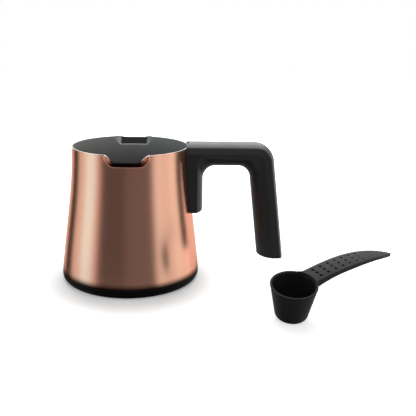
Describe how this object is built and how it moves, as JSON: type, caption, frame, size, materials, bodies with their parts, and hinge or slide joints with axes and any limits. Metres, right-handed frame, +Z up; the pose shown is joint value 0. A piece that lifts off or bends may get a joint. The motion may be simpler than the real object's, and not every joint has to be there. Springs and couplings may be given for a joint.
{
  "type": "electric turkish coffee pot",
  "caption": "Copper-coloured electric coffee pot with two pouring lips, a black arched handle and a heated base, and its measuring spoon.",
  "frame": {"origin": "centre of the round recess under the pot, on the surface the pot stands on", "axes": "+Z up along the pot's axis, +X from the pot's axis towards the handle, +Y away from the viewer, towards the far spout"},
  "size_m": [0.2413, 0.1504, 0.1019],
  "materials": {
    "copper_skin": "satin copper coat",
    "steel": "satin",
    "aluminium": "cast",
    "contact_metal": "bright",
    "handle_plastic": "matte",
    "base_plastic": "matte",
    "spoon_plastic": "fine matte",
    "ceramic": "plain",
    "seal_rubber": "matte"
  },
  "bodies": {
    "pot": {"pot_wall": "copper_skin", "pot_floor": "steel", "heat_plate": "aluminium", "heating_element": "steel", "element_tabs": "contact_metal", "plate_studs": "steel", "base_shoe": "base_plastic", "shoe_seal": "seal_rubber", "shoe_screws": "steel", "control_body": "base_plastic", "centre_contact": "contact_metal", "ring_contacts": "contact_metal", "lead_straps": "contact_metal", "guide_plate": "ceramic", "disc_carrier": "steel", "snap_disc": "contact_metal", "leaf_terminal": "contact_metal", "fixed_contact": "contact_metal", "handle_bracket": "steel", "handle_frame": "handle_plastic", "handle_cover": "handle_plastic", "handle_screws": "steel", "grip_cap": "handle_plastic"},
    "trip": {"trip_pin": "ceramic", "switch_leaf": "contact_metal"},
    "spoon": {"spoon": "spoon_plastic"}
  },
  "joints": [
    {"name": "trip_slide", "type": "slide", "parent": "pot", "child": "trip", "axis": [0, 0, -1], "range_m": [0, 0.0008], "stiffness_N_per_m": 100, "springref_m": -0.002},
    {"name": "spoon_lift", "type": "slide", "parent": "pot", "child": "spoon", "axis": [0, 0, 1], "range_m": [0, 0.12]}
  ]
}
